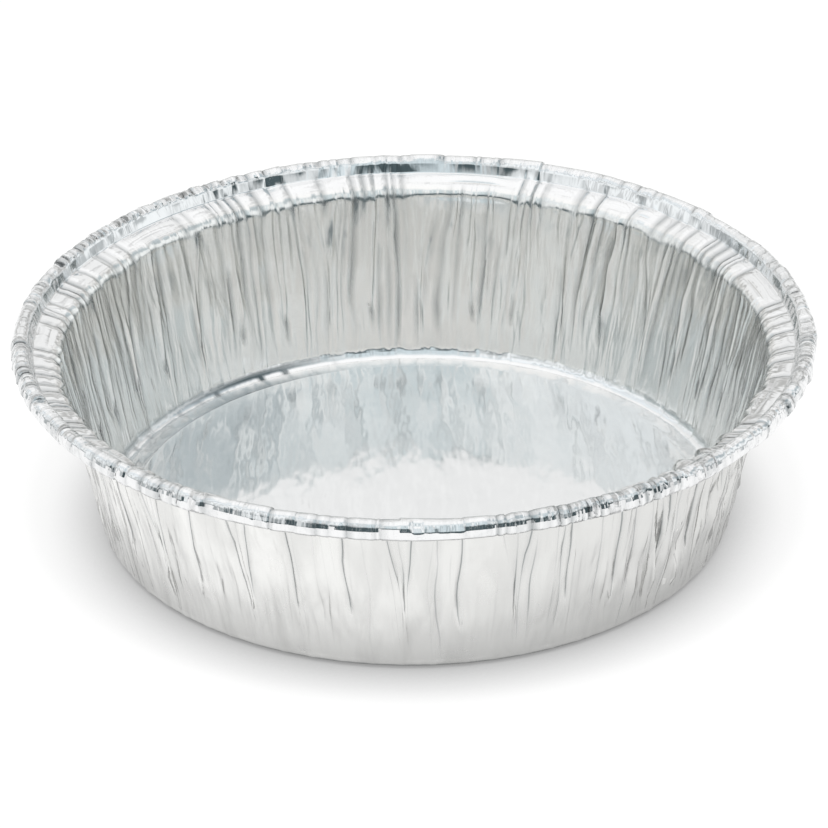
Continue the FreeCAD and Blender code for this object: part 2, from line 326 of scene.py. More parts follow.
class Gathers:
    """Creases run up the wall and over the rim. Each has a turn and a depth at every ring.

    Points stand at the shares of each gap between two creases that CELL gives, so that they crowd at the
    creases and a fine one needs few points. A push is in metres, and more than zero towards the under face.
    Heights up the wall are shares of it. Places round the dish are in degrees, with the front at -90, and
    each row of a table of places gives the place, the half width and the height of one hump.
    """

    CELL = np.array([0.0, 0.1, 0.5, 0.9])
    # Depth of a crease (FINE, WIDE) and its painted shade (SOFT_EDGE, CRISP_EDGE), at its own point and at
    # the three after it.
    FINE = np.array([1.0, 0.6, 0.05, 0.0])
    WIDE = np.array([1.0, 0.38, 0.08, 0.0])
    SOFT_EDGE = np.array([0.75, 0.55, 0.0, 0.0])
    CRISP_EDGE = np.array([1.0, 0.12, 0.0, 0.0])
    # Push on the four points of a gap where its foil swells, and where it leans.
    PILLOW = np.array([0.0, 0.6, 1.0, 0.6])
    LEAN = np.array([0.0, -1.0, 0.0, 1.0])
    # Heights at which creases change their turn, at which forks close, and at which tips and forks end.
    WALL_LEVELS = np.array([0.0, 0.18, 0.36, 0.54, 0.72, 0.88, 1.0])
    FORK_LEVEL = 0.5
    FORK_TOPS = (0.42, 0.7)
    PLEAT_TIPS = (0.26, 0.34)
    # Waves round the dish, as counts with a place or a height, that gather crimps, foil and the corner's
    # painted dark nicks.
    LEDGE_GROUPS = ((11, 0.3), (17, 0.7), (27, 0.1))
    SWELL_COUNTS = (23, 37, 52, 61, 83, 97)
    NICK_WAVES = ((19, 1.0), (31, 0.6))
    # Tables of places.
    PLAIN_OUTSIDE = ((-122, 72, 0.92), (-38, 34, 0.3))
    BROAD_FOLDS = ((-34, 36, 1.0), (-165, 30, 0.35))
    PLAIN_LEDGE = ((90, 60, 0.6),)
    CRUMPLED_RIM = (
        (-63, 24, 0.75), (-20, 50, 0.4), (-162, 40, 0.4), (-125, 22, 0.55), (75, 70, 0.12), (138, 42, 0.8)
    )
    SMOOTH_RIM = ((-131, 3.5, 0.7), (-118, 3.5, 0.7))
    # Places round the corner that get painted shade.
    SHADED_CORNER = ((124, 26, 1.0), (160, 30, 0.4))
    DENT_TURN = -90.4
    DENT_WIDTH = 2.0

    def __init__(self, section, sizes):
        self.section = section
        self.sizes = sizes
        self.chance = np.random.default_rng(sizes.seed)
        self.group = sizes.creases + 1
        self.count = sizes.pleats * self.group
        self.along = section.along[:, None]
        self.up = (self.along - section.wall_start) / (section.shoulder_start - section.wall_start)
        self.fade_ledge = 1 - ease(
            section.shoulder_start - 0.2 * MM, section.ledge_start + 0.3 * MM, self.along
        )
        self.forks = self.chance.uniform(*self.FORK_TOPS, sizes.pleats)
        self.forked = np.isin(np.arange(sizes.pleats) % 5, (0, 2))
        self.lines = self.line_turns()
        self.degrees = (self.lines * 360 + 180) % 360 - 180
        shape = self.lines.shape
        self.fine = np.zeros(shape)
        self.wide = np.zeros(shape)
        self.body = np.zeros((*shape, len(self.CELL)))
        # Depth of the shoulder's nicks, and the painted shade at those nicks and at the ledge crimps.
        self.nicks_and_shade = np.zeros(shape)

    def level(self, homes, gaps):
        """Turns of all creases at one height, from those of the pleats and the widths of the gaps."""
        shares = gaps / gaps.sum(axis=1, keepdims=True)
        spans = np.diff(np.append(homes, homes[0] + 1.0))
        return (homes[:, None] + spans[:, None] * (np.cumsum(shares, axis=1) - shares)).ravel()

    def jostle(self, turns, share):
        """The same creases a little to one side, never past their neighbours."""
        gaps = np.diff(np.append(turns, turns[0] + 1.0))
        room = np.minimum(gaps, np.roll(gaps, 1))
        return turns + share * room * self.chance.uniform(-1, 1, self.count)

    def line_turns(self):
        """A row for each ring and a column for each crease, which lean, and draw together at the forks."""
        chance = self.chance
        section = self.section
        pleats = self.sizes.pleats
        pitch = 1 / pleats
        even = np.arange(pleats) + chance.uniform(-0.03, 0.03, pleats)
        homes = self.sizes.pleat_turn / 360 + pitch * even
        gaps = chance.uniform(0.5, 1.6, (pleats, self.group))
        fork = gaps * chance.uniform(0.7, 1.4, gaps.shape)
        for beside in ((self.forked, 0), (np.roll(self.forked, -1), -1)):
            gaps[beside] = 1.7
            fork[beside] = 0.3
        top = self.level(homes, gaps)
        homes = homes + pitch * chance.uniform(-0.01, 0.13, pleats)
        middle = self.level(homes, fork)
        homes = homes + pitch * chance.uniform(-0.01, 0.1, pleats)
        bottom = self.level(homes, fork * chance.uniform(0.7, 1.4, gaps.shape))
        rim = self.jostle(top, 0.3)
        levels = [bottom]
        for share in self.WALL_LEVELS[1:-1]:
            below = max(0.0, 1 - share / self.FORK_LEVEL)
            above = max(0.0, share / self.FORK_LEVEL - 1)
            levels.append(self.jostle(below * bottom + (1 - below - above) * middle + above * top, 0.3))
        levels += [top, self.jostle(top, 0.12), rim, self.jostle(rim, 0.2)]
        wall = section.wall_start + self.WALL_LEVELS * (section.shoulder_start - section.wall_start)
        heights = [*wall, section.step_start, section.curl_start, section.end]
        return np.array([np.interp(section.along, heights, line) for line in np.array(levels).T]).T

    def some(self, share):
        """A chance choice of some of the creases."""
        return self.chance.uniform(size=self.count) < share

    def chance_map(self, heights):
        """A chance value for each crease or gap, which changes from one height on the section to the next."""
        values = self.chance.normal(size=(self.count, len(heights)))
        return np.array([np.interp(self.section.along, heights, row) for row in values]).T

    def wall_map(self, levels):
        """A chance map that changes at even heights up the wall."""
        return self.chance_map(np.linspace(self.section.wall_start, self.section.shoulder_start, levels))

    def smoothly(self, values):
        """A value at every point, from one for the middle of each gap."""
        before = np.clip(0.5 - self.CELL, 0, 1)
        after = np.clip(self.CELL - 0.5, 0, 1)
        parts = ((0, 1 - before - after), (1, before), (-1, after))
        return sum(np.roll(values, shift, axis=1)[:, :, None] * share for shift, share in parts)

    def add_pleats(self):
        """Main pleats: a sharp line, forked at the top in some, that ends in a soft tip two thirds down."""
        chance = self.chance
        up = self.up[:, 0]
        fade = self.fade_ledge[:, 0]
        for pleat, fork in enumerate(self.forks):
            main = pleat * self.group
            tip = chance.uniform(*self.PLEAT_TIPS)
            depth = self.sizes.pleat_depth * chance.uniform(0.65, 1.15)
            start = ease(tip, tip + 0.12, up) * fade
            if self.forked[pleat]:
                self.wide[:, main] -= depth * start * (1 - 0.85 * ease(fork - 0.05, fork + 0.15, up))
                for branch in (main - 1, main + 1):
                    strength = depth * chance.uniform(0.5, 0.9) * fade
                    self.wide[:, branch] -= strength * ease(fork - 0.1, fork + 0.1, up)
            else:
                self.wide[:, main] -= depth * start
            swell = self.sizes.tip_bulge * hump(tip - 0.03, 0.1, up)
            self.fine[:, main] += swell
            self.body[:, main, 1] += 0.8 * swell
            self.body[:, main - 1, 3] += 0.8 * swell

    def add_creases(self):
        """Chance creases of every length between the pleats, some pressed in and some out."""
        chance = self.chance
        count = self.count
        bottom = np.where(self.some(0.7), chance.uniform(-0.1, 0.12, count), chance.uniform(0.1, 0.55, count))
        top = np.where(self.some(0.8), 2.0, chance.uniform(0.7, 1.0, count))
        depth = self.sizes.crease_depth * chance.uniform(0.2, 1.0, count)
        side = np.where(self.some(0.6), 1.0, -1.0)
        side[:: self.group] = -0.3
        grow = ease(bottom, bottom + 0.3, self.up) * (1 - ease(top - 0.15, top, self.up))
        waver = np.clip(0.75 + 0.35 * self.wall_map(5), 0.1, 1.4)
        side = np.where(side < 0, side * (1 - humps(self.PLAIN_OUTSIDE, self.degrees)), side)
        self.fine += side * depth * grow * waver * self.fade_ledge
        swing = self.wall_map(6) * ease(-0.1, 0.3, self.up) * self.fade_ledge
        self.body += self.smoothly(self.sizes.fold * humps(self.BROAD_FOLDS, self.degrees) * swing)

    def add_lean(self):
        """The foil between two creases leans to one side, is a little pillowed, and has soft bulges."""
        strength = self.sizes.lean * ease(-0.15, 0.35, self.up) * self.fade_ledge
        self.body += (strength * self.wall_map(6))[:, :, None] * self.LEAN
        self.body += (0.5 * strength * self.wall_map(6))[:, :, None] * self.PILLOW
        bulge = self.wall_map(8)
        neighbours = range(-2, 3)
        bulge = sum(np.roll(bulge, shift, axis=1) for shift in neighbours) / len(neighbours) ** 0.5
        bulge = bulge * ease(0.0, 0.2, self.up) * (1 - ease(0.8, 1.0, self.up))
        self.body += self.smoothly(self.sizes.bulge * bulge)

    def pinches(self, chance_of):
        """Which creases pinch the ledge or rim, and each point's share of the way to the next pinch."""
        pinched = self.some(chance_of)
        marks = np.flatnonzero(pinched)
        order = np.arange(self.count)
        which = np.searchsorted(marks, order, side="right") - 1
        width = (np.roll(marks, -1) - marks)[which] % self.count
        share = ((order - marks[which]) % self.count)[:, None] + self.CELL
        return pinched, which, width, share / width[:, None]

    def add_ledge_crimps(self):
        """Sharp crimps over the shoulder and ledge, with the foil pillowed between them."""
        chance = self.chance
        section = self.section
        crimp = self.sizes.ledge_crimp
        waves = [np.sin(FULL_TURN * (self.lines[-1] * count + place)) for count, place in self.LEDGE_GROUPS]
        groups = ease(0.2, 1.4, sum(waves)) * (1 - humps(self.PLAIN_LEDGE, self.degrees[-1]))
        pinched, which, width, share = self.pinches(0.36 + 0.35 * groups)
        on = ease(section.shoulder_start - 0.4 * MM, section.shoulder_start + 0.8 * MM, self.along)
        on = on * (1 - ease(section.step_start - 0.2 * MM, section.curl_start, self.along))
        self.fine += on * crimp * pinched * (chance.uniform(0.35, 1.2, self.count) + 0.7 * groups)
        rails = [section.shoulder_start, section.ledge_start, section.step_start]
        on = on * (1 - ease(section.step_start - 0.5 * MM, section.step_start, self.along))
        on = on * (1 - 0.8 * hump(section.ledge_start, 0.45 * MM, self.along))
        pillow = (0.6 + 0.5 * np.abs(self.chance_map(rails)[:, which])) * width ** 0.7
        self.body -= (0.75 * crimp * on * pillow)[:, :, None] * 4 * share * (1 - share)
        lean = self.chance_map(rails)[:, which] * width ** 0.5
        self.body += (0.45 * crimp * on * lean)[:, :, None] * np.sin(math.pi * share) * (share - 0.5)
        # Some crimps nick the shoulder, which dents it; those nicks and every ledge crimp also get painted
        # shade.
        nicked = pinched & self.some(0.35)
        at_edge = hump(section.shoulder_start, 0.7 * MM, self.along)
        self.nicks_and_shade += nicked * at_edge * chance.uniform(0.4, 1.0, self.count)
        self.fine += 1.2 * crimp * self.nicks_and_shade
        self.nicks_and_shade += 0.7 * on * pinched * chance.uniform(0.2, 1.0, self.count)

    def rim_strength(self):
        """How crumpled the curl is at each crease: most of all at the front right."""
        return (0.6 + humps(self.CRUMPLED_RIM, self.degrees)) * (1 - humps(self.SMOOTH_RIM, self.degrees))

    def add_rim_crimps(self):
        """Facets between the pinches that cross the curl, and the one dent in front."""
        section = self.section
        crimp = self.sizes.rim_crimp
        on = ease(section.curl_start - 0.2 * MM, section.curl_start + 0.7 * MM, self.along)
        strength = self.rim_strength()
        pinched, which, width, share = self.pinches(np.clip(0.7 * strength[-1], 0.12, 0.9))
        rails = np.linspace(section.step_start, section.end, 7)
        kinked = self.some(0.3)
        kink = self.chance_map([section.step_start, section.end]) * kinked
        self.body += self.smoothly(1.2 * crimp * kink * hump(section.step_start, 1.0 * MM, self.along))
        scale = 0.8 * crimp * on * strength * width ** 0.6
        left, right = scale * self.chance_map(rails)[:, which], scale * self.chance_map(rails)[:, which]
        facets = left[:, :, None] * (1 - share) + right[:, :, None] * share
        facets[:, pinched, 0] = ((left + np.roll(right, 1, axis=1)) / 2)[:, pinched]
        self.body += facets
        depth = 0.3 + 1.7 * self.chance.uniform(size=self.count) ** 2
        self.fine += (0.35 + 0.65 * strength) * on * crimp * depth * pinched
        side = section.curl_start + self.sizes.dent_place
        dent = self.sizes.dent_depth * hump(self.DENT_TURN, self.DENT_WIDTH, self.degrees)
        self.body += (dent * hump(side, 1.3 * MM, self.along))[:, :, None]

    def teeth(self, turns, power, offset=0.0):
        """A narrow tooth at every corner dent, or half way between them with an offset of a half."""
        phase = turns * self.sizes.corner_dents + offset
        return np.clip(np.cos(FULL_TURN * phase), 0, 1) ** power

    def corner_dents(self, turns):
        """Small even dents that the die leaves round the corner."""
        at_step = hump(self.section.ring_start, 0.7 * MM, self.along)
        above = hump(self.section.wall_start + 0.6 * MM, 2.0 * MM, self.along)
        dents = 1.5 * self.teeth(turns, 2, 0.5) * above - self.teeth(turns, 3) * at_step
        return self.sizes.corner_dent * dents

    def corner_painted_shade(self, turns):
        """Painted shade along the corner, only on the left, with a dark nick at every dent and a fainter line
        at the panel's edge.
        """
        section = self.section
        degrees = (turns * 360) % 360
        left = humps(self.SHADED_CORNER, degrees)
        waves = sum(height * np.sin(FULL_TURN * count * turns) for count, height in self.NICK_WAVES)
        nick = self.teeth(turns, 3) * np.clip(0.6 + waves, 0, 1)
        line = np.clip(1.4 * hump(section.wall_start - 0.6 * MM, 0.45 * MM, self.along), 0, 1)
        hanging = np.clip(1.6 * nick * hump(section.wall_start - 1.2 * MM, 1.1 * MM, self.along), 0, 1)
        edge = 0.6 * hump(section.ring_start, 0.4 * MM, self.along)
        return left * np.maximum(np.maximum(line, hanging), edge)

    def swells(self, turns):
        """Soft upright waves, stronger towards the top."""
        total = np.zeros(turns.shape)
        strength = self.sizes.swell * 0.45 * ease(-0.05, 0.9, self.up) * self.fade_ledge
        for count in self.SWELL_COUNTS:
            phase = self.chance.uniform() + 0.6 * self.chance.uniform(-1, 1) * self.up
            total += strength * np.cos(FULL_TURN * (count * turns + phase))
        return total

    def spread(self, creases, profile):
        """The push of each crease on the points either side of it."""
        mirrored = profile[[0, 3, 2, 1]] * (self.CELL > 0)
        return creases[:, :, None] * profile + np.roll(creases, -1, axis=1)[:, :, None] * mirrored

    def build(self):
        """Turns, push, painted shade in the creases on either face, and crumple, with a row for each ring."""
        self.add_pleats()
        self.add_creases()
        self.add_lean()
        self.add_ledge_crimps()
        self.add_rim_crimps()
        section = self.section
        rings = len(self.along)
        gaps = np.diff(np.concatenate([self.lines, self.lines[:, :1] + 1.0], axis=1), axis=1)
        turns = (self.lines[:, :, None] + gaps[:, :, None] * self.CELL).reshape(rings, -1)
        creased = self.spread(self.fine, self.FINE) + self.spread(self.wide, self.WIDE)
        push = (self.body + creased).reshape(rings, -1) + self.corner_dents(turns) + self.swells(turns)
        lines = (self.fine + self.wide) / self.sizes.crease_depth
        # Painted shade in each crease's valley on the face that sees it, and at the nicks and the corner.
        faces = [0.75 * np.clip(side * lines, 0, 1) for side in (1, -1)]
        faces[0] = np.maximum(faces[0], self.nicks_and_shade)
        edges = (self.SOFT_EDGE, self.CRISP_EDGE)
        painted_shades = [self.spread(face, edge).reshape(rings, -1) for face, edge in zip(faces, edges)]
        # Painted shade along the corner on the left.
        painted_shades[0] = np.maximum(painted_shades[0], self.corner_painted_shade(turns))
        # A painted dark line round the outside of the corner, standing in for the shade where the dish meets
        # the table.
        middle = (section.corner_start + section.wall_start) / 2
        painted_shades[1] = np.maximum(painted_shades[1], 0.8 * hump(middle, 0.5 * MM, self.along))
        crumple = self.rim_strength() * ease(section.curl_start, section.curl_start + 0.8 * MM, self.along)
        crumple += 0.1 * ease(section.shoulder_start - 1 * MM, section.shoulder_start + 0.6 * MM, self.along)
        return turns, push, painted_shades, np.repeat(crumple, len(self.CELL), axis=1)


def ring_points(radius, height, turns):
    """Points round one ring, or round every ring where they are given as maps."""
    around = FULL_TURN * turns
    return np.stack(
        [radius * np.cos(around), radius * np.sin(around), np.broadcast_to(height, radius.shape)], axis=-1
    )


def stitch(faces, inner, outer):
    """Quads between two rings of point numbers with the same count."""
    count = len(inner)
    for i in range(count):
        j = (i + 1) % count
        faces.append((inner[i], outer[i], outer[j], inner[j]))


def stitch_wider(faces, inner, outer, outward):
    """Triangles from a coarse inner ring to a finer outer ring."""
    ratio = len(outer) // len(inner)
    half = ratio // 2
    for i in range(len(inner)):
        j = (i + 1) % len(inner)
        fan = [outer[(i * ratio + step) % len(outer)] for step in range(ratio + 1)]
        mine = [(inner[i], fan[step], fan[step + 1]) for step in range(half)]
        mine.append((inner[i], fan[half], inner[j]))
        mine += [(inner[j], fan[step], fan[step + 1]) for step in range(half, ratio)]
        faces += mine if outward else [face[::-1] for face in mine]


class FoilMesh:
    """Collects the closed foil: top face, round the free edge, and back along the under face."""

    FLOOR_SHARES = (0.92, 0.78, 0.6, 0.4, 0.2)
    FLOOR_STEP = 6

    def __init__(self, section, foil):
        self.section = section
        self.foil = foil
        self.points = []
        self.painted_shades = []
        self.crumples = []
        self.outsides = []
        self.faces = []
        self.total = 0

    def add(self, block, shade=0.0, crumple=0.0, outside=0.0):
        """Add a ring of points and give their numbers."""
        self.points.append(block)
        self.outsides.append(np.full(len(block), outside))
        self.painted_shades.append(np.broadcast_to(shade, len(block)))
        self.crumples.append(np.broadcast_to(crumple, len(block)))
        numbers = np.arange(self.total, self.total + len(block))
        self.total += len(block)
        return numbers.tolist()

    def sheet(self, side, keep, turns, push, shade, crumple):
        """Rings of one face of the foil."""
        section = self.section
        offset = side + push[keep]
        radius = section.radius[keep][:, None] + section.right_r[keep][:, None] * offset
        height = section.height[keep][:, None] + section.right_z[keep][:, None] * offset
        grid = ring_points(radius, height, turns[keep])
        return [self.add(*row, outside=float(side > 0)) for row in zip(grid, shade[keep], crumple[keep])]

    def floor(self, side, edge, edge_turns, outward):
        """The flat floor inside a ring, in coarser steps."""
        section = self.section
        turns = edge_turns[:: self.FLOOR_STEP]
        z = section.panel_z - side
        rings = [
            self.add(ring_points(np.full(len(turns), section.panel_radius * share), z, turns))
            for share in self.FLOOR_SHARES
        ]
        stitch_wider(self.faces, rings[0], edge, outward)
        for wide, narrow in zip(rings, rings[1:]):
            stitch(self.faces, *((narrow, wide) if outward else (wide, narrow)))
        centre = self.add(np.array([[0.0, 0.0, z]]))[0]
        last = rings[-1]
        for i, number in enumerate(last):
            following = last[(i + 1) % len(last)]
            self.faces.append((centre, number, following) if outward else (centre, following, number))

    def build(self, turns, push, painted_shades, crumple):
        """The whole mesh, with the painted shade of its creases and its crumple as attributes."""
        section = self.section
        count = len(section.along)
        close = (section.along > section.ring_start) & (section.along <= section.shoulder_start)
        keep = [k for k in range(count) if close[k] or (count - 1 - k) % 2 == 0 or k == 0]
        top = self.sheet(0.0, list(range(count)), turns, push, painted_shades[0], crumple)
        under = self.sheet(self.foil, keep, turns, push, painted_shades[1], crumple)
        rings = top + under[::-1]
        for inner, outer in zip(rings, rings[1:]):
            stitch(self.faces, inner, outer)
        self.floor(0.0, top[0], turns[0], True)
        self.floor(self.foil, under[0], turns[0], False)
        mesh = bpy.data.meshes.new(DISH_NODE)
        mesh.from_pydata(np.concatenate(self.points).tolist(), [], self.faces)
        mesh.update()
        mesh.polygons.foreach_set("use_smooth", [True] * len(mesh.polygons))
        values = {"painted_shade": self.painted_shades, "crumple": self.crumples, "outside": self.outsides}
        for name, blocks in values.items():
            mesh.attributes.new(name, "FLOAT", "POINT").data.foreach_set("value", np.concatenate(blocks))
        return mesh


class Shading:
    """Adds nodes to a material or world. A value is a socket, a number, or a colour of three numbers."""

    def __init__(self, owner):
        owner.use_nodes = True
        self.tree = owner.node_tree

    def node(self, kind, **options):
        """A node of one kind, with its own options set."""
        made = self.tree.nodes.new("ShaderNode" + kind)
        for name, value in options.items():
            setattr(made, name, value)
        return made

    def put(self, value, socket):
        """Link a socket to an input, or set the input's own value."""
        if isinstance(value, bpy.types.NodeSocket):
            self.tree.links.new(value, socket)
        else:
            socket.default_value = (*value, 1.0) if socket.type == "RGBA" else value

    def fill(self, made, **inputs):
        """Put values on a node's inputs by name, and give the node."""
        for name, value in inputs.items():
            self.put(value, made.inputs[name.replace("_", " ")])
        return made

    def feed(self, made, *values):
        """Put values on a node's first inputs, and give its first output."""
        for socket, value in zip(made.inputs, values):
            self.put(value, socket)
        return made.outputs[0]

    def math(self, operation, *values, clamp=False):
        """The result of an operation on one or two values."""
        return self.feed(self.node("Math", operation=operation, use_clamp=clamp), *values)

    def times(self, first, second):
        """One value times another."""
        return self.math("MULTIPLY", first, second)

    def plus(self, first, second):
        """One value and another added."""
        return self.math("ADD", first, second)

    def minus(self, first, second, clamp=False):
        """One value less another, and never below 0 where it is clamped."""
        return self.math("SUBTRACT", first, second, clamp=clamp)

    def smooth(self, value, low, high, start=0.0, end=1.0):
        """A smooth change from start to end while a value goes from low to high."""
        made = self.node("MapRange", interpolation_type="SMOOTHSTEP")
        return self.feed(made, value, low, high, start, end)

    def mix(self, share, first, second):
        """A mix of two colours."""
        made = self.node("Mix", data_type="RGBA")
        self.put(share, made.inputs["Factor"])
        self.put(first, made.inputs[6])
        self.put(second, made.inputs[7])
        return made.outputs[2]

    def combine(self, x, y, z):
        """A vector from its three axes."""
        return self.feed(self.node("CombineXYZ"), x, y, z)

    def axes(self, vector):
        """The three axes of a vector."""
        made = self.node("SeparateXYZ")
        self.put(vector, made.inputs[0])
        return made.outputs

    def vector(self, operation, *values):
        """A node that works on whole vectors."""
        made = self.node("VectorMath", operation=operation)
        self.feed(made, *values)
        return made.outputs["Value" if operation == "DOT_PRODUCT" else "Vector"]

    def noise(self, vector, scale, detail=2.0, distortion=0.0):
        """A noise texture read at a vector."""
        made = self.node("TexNoise")
        self.fill(made, Vector=vector, Scale=scale, Detail=detail, Distortion=distortion)
        return made.outputs["Fac"]


def dimmed(shade, share):
    """A darker colour."""
    return [value * share for value in shade]


def blended(first, second, share):
    """A colour between two."""
    return [a + (b - a) * share for a, b in zip(first, second)]


class FoilShading(Shading):
    """Bright rolled foil: satin floor, softer wall, and a crisp ledge and rim.

    Bump heights are shares of BUMP. The streaks that a noise makes are shorter up the wall where the
    stretch of the place that it is read at is more.
    """

    BUMP = 0.1 * MM
    FLOOR_TOP = (0.9 * MM, 1.6 * MM)
    RIM_BOTTOM = (RIM_TOP - 3.2 * MM, RIM_TOP - 2.4 * MM)
    # Painted shade: between these x the outside is painted up to about a fifth darker, standing in for the
    # darker surroundings that its right side mirrors.
    SHADED_SIDE = (-30 * MM, 44 * MM)
    WARPED_SIDE = (-30 * MM, 2 * MM)
    WARP_SLOPE = 0.038
    HOLLOW_START = 0.8 * MM
    HOLLOW_WIDTH = 3 * MM
    HOLLOW_DEPTH = 0.38 * MM
    FACET_TILT = 0.45
    GRAIN = 0.025
    PATCH_EDGES = (0.38, 0.68)
    # Noise values between which the painted dark specks show on the crumpled rim.
    SPECK_SHADE_EDGES = (0.52, 0.66)

    def __init__(self, finish, section):
        self.material = bpy.data.materials.new("foil")
        super().__init__(self.material)
        self.finish = finish
        self.place = self.node("TexCoord").outputs["Object"]
        self.x, self.y, self.z = self.axes(self.place)
        squares = self.plus(self.times(self.x, self.x), self.times(self.y, self.y))
        self.radius = self.math("SQRT", squares)
        off_axis = self.math("MAXIMUM", self.radius, 0.1 * MM)
        turned = [self.math("DIVIDE", axis, off_axis) for axis in (self.x, self.y)]
        self.round = [self.times(axis, RIM_RADIUS) for axis in turned]
        names = ("painted_shade", "crumple", "outside")
        nodes = [self.node("Attribute", attribute_name=name) for name in names]
        self.painted_shade, self.crumple, self.outside = (made.outputs["Fac"] for made in nodes)
        self.on_floor = self.smooth(self.z, *self.FLOOR_TOP, 1.0, 0.0)
        self.on_rim = self.smooth(self.z, *self.RIM_BOTTOM)
        self.off_floor = self.minus(1.0, self.on_floor, clamp=True)
        self.on_wall = self.minus(self.off_floor, self.on_rim, clamp=True)
        normal = self.normal(section.panel_radius + self.HOLLOW_START)
        shader = self.tree.nodes["Principled BSDF"]
        self.fill(
            shader, Metallic=1.0, Base_Color=self.base_colour(), Roughness=self.roughness(), Normal=normal
        )

    def streaked(self, stretch):
        """A place that runs round the dish, where a texture makes streaks across the rim and the wall."""
        return self.combine(*self.round, self.times(self.z, stretch))

    def roughness(self):
        """Blur of each part of the dish, with soft blotches, and more in the creases and on the outside."""
        finish = self.finish
        rough = self.smooth(self.on_floor, 0.0, 1.0, finish.wall_roughness, finish.floor_roughness)
        rough = self.minus(rough, self.times(self.on_rim, finish.wall_roughness - finish.rim_roughness))
        blotch = self.minus(self.noise(self.place, scale=180.0, detail=3.0), 0.5)
        for extra, share in ((blotch, 0.1), (self.outside, 0.06), (self.painted_shade, 0.2)):
            rough = self.plus(rough, self.times(extra, share))
        return rough

    def base_colour(self):
        """Colour of each part of the dish, with dull patches, a painted warm reflection tint on the wall,
        painted dark specks on the crumpled rim, painted shade in the creases, and painted shade that dims the
        outside towards +x.
        """
        finish = self.finish
        metal = self.mix(self.noise(self.place, scale=420.0), finish.metal, dimmed(finish.metal, 0.95))
        # Painted warm reflection tint on the wall.
        metal = self.mix(self.on_wall, metal, finish.wall)
        patches = self.noise(self.streaked(0.35), scale=230.0, detail=4.0, distortion=0.5)
        patches = self.smooth(patches, *self.PATCH_EDGES)
        under = self.mix(patches, finish.outside, dimmed(finish.outside, 0.86))
        # Painted shade on the outside, darker towards +x.
        shaded = self.smooth(self.x, *self.SHADED_SIDE, 0.0, 0.9)
        under = self.mix(shaded, under, dimmed(finish.outside, 0.77))
        metal = self.mix(self.outside, metal, under)
        # Painted shade: dark specks where the rim is crumpled.
        speck_shades = self.noise(self.streaked(0.6), scale=620.0, distortion=0.3)
        speck_shades = self.smooth(speck_shades, *self.SPECK_SHADE_EDGES)
        speck_shades = self.times(speck_shades, self.times(self.math("POWER", self.crumple, 2.0), 0.2))
        speck_shades = self.times(speck_shades, self.minus(self.on_rim, self.outside, clamp=True))
        metal = self.mix(speck_shades, metal, finish.speck_shade)
        # Painted shade: the dark colour mixed in along the marked creases, nicks and corner.
        return self.mix(self.painted_shade, metal, finish.painted_shade)

    def facets(self, place, scale):
        """Flat facets, each tilted its own way, as a height in metres."""
        cells = self.fill(self.node("TexVoronoi"), Vector=place, Scale=scale).outputs
        tilt = self.vector("SUBTRACT", cells["Color"], (0.5, 0.5, 0.5))
        return self.vector("DOT_PRODUCT", tilt, self.vector("SUBTRACT", place, cells["Position"]))

    def marks(self):
        """Height of the streaks, the floor's rolled waves, the grain, and the facets of a crumpled rim."""
        coarse = self.times(self.noise(self.streaked(0.22), scale=400.0, distortion=0.8), 3.0)
        fine = self.times(self.noise(self.streaked(0.12), scale=1100.0, distortion=0.4), 0.5)
        off_rim = self.minus(1.0, self.times(self.on_rim, 0.55))
        streaks = self.times(self.times(self.plus(coarse, fine), self.off_floor), off_rim)
        rolled = self.combine(self.x, self.times(self.y, 0.3), 0.0)
        broad = self.times(self.noise(self.place, scale=85.0, detail=1.0), 2.3)
        small = self.times(self.noise(rolled, scale=340.0), 2.2)
        waves = self.times(self.plus(broad, small), self.on_floor)
        grain = self.times(self.noise(self.place, scale=1800.0, detail=3.0), self.GRAIN)
        across = self.streaked(0.2)
        tilted = self.plus(self.facets(across, scale=1000.0), self.facets(across, scale=2200.0))
        crisp = self.times(self.math("POWER", self.crumple, 3.0), self.FACET_TILT / self.BUMP)
        return self.plus(self.plus(streaks, waves), self.plus(grain, self.times(tilted, crisp)))

    def normal(self, foot):
        """The floor's slight warp and the hollow from the foot outward, with the small marks on top."""
        warp = self.times(self.smooth(self.x, *self.WARPED_SIDE, 0.0, self.WARP_SLOPE / self.BUMP), self.y)
        depth = self.HOLLOW_DEPTH / self.BUMP
        hollow = self.smooth(self.radius, foot, foot + self.HOLLOW_WIDTH, 0.0, depth)
        on_top = self.minus(self.on_floor, self.outside, clamp=True)
        sag = self.node("Bump")
        self.fill(sag, Strength=on_top, Distance=self.BUMP, Height=self.plus(warp, hollow))
        bump = self.node("Bump")
        self.fill(bump, Strength=1.0, Distance=self.BUMP, Height=self.marks(), Normal=sag.outputs["Normal"])
        return bump.outputs["Normal"]


def add_object(name, data):
    """A new object in the scene."""
    made = bpy.data.objects.new(name, data)
    bpy.context.scene.collection.objects.link(made)
    return made


class DISH_OT_foil(bpy.types.Operator):
    """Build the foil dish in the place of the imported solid"""

    bl_idname = "foil_dish.make_foil"
    bl_label = "Make foil dish"

    def execute(self, context):
        scene = context.scene
        section = Section(scene.dish_section)
        gathers = Gathers(section, scene.dish_folds)
        mesh = FoilMesh(section, scene.dish_section.foil).build(*gathers.build())
        mesh.materials.append(FoilShading(scene.dish_finish, section).material)
        dish = add_object("foil_dish", mesh)
        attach(dish, "root")
        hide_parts(DISH_NODE)
        return {"FINISHED"}


def open_share(shading, distance, loss):
    """1 in the open, and less by up to the loss where something stands within a distance; this ambient
    occlusion paints the table's shadow.
    """
    nearby = shading.fill(shading.node("AmbientOcclusion", samples=8), Distance=distance)
    return shading.smooth(nearby.outputs["AO"], 0.0, 1.0, 1.0 - loss, 1.0)


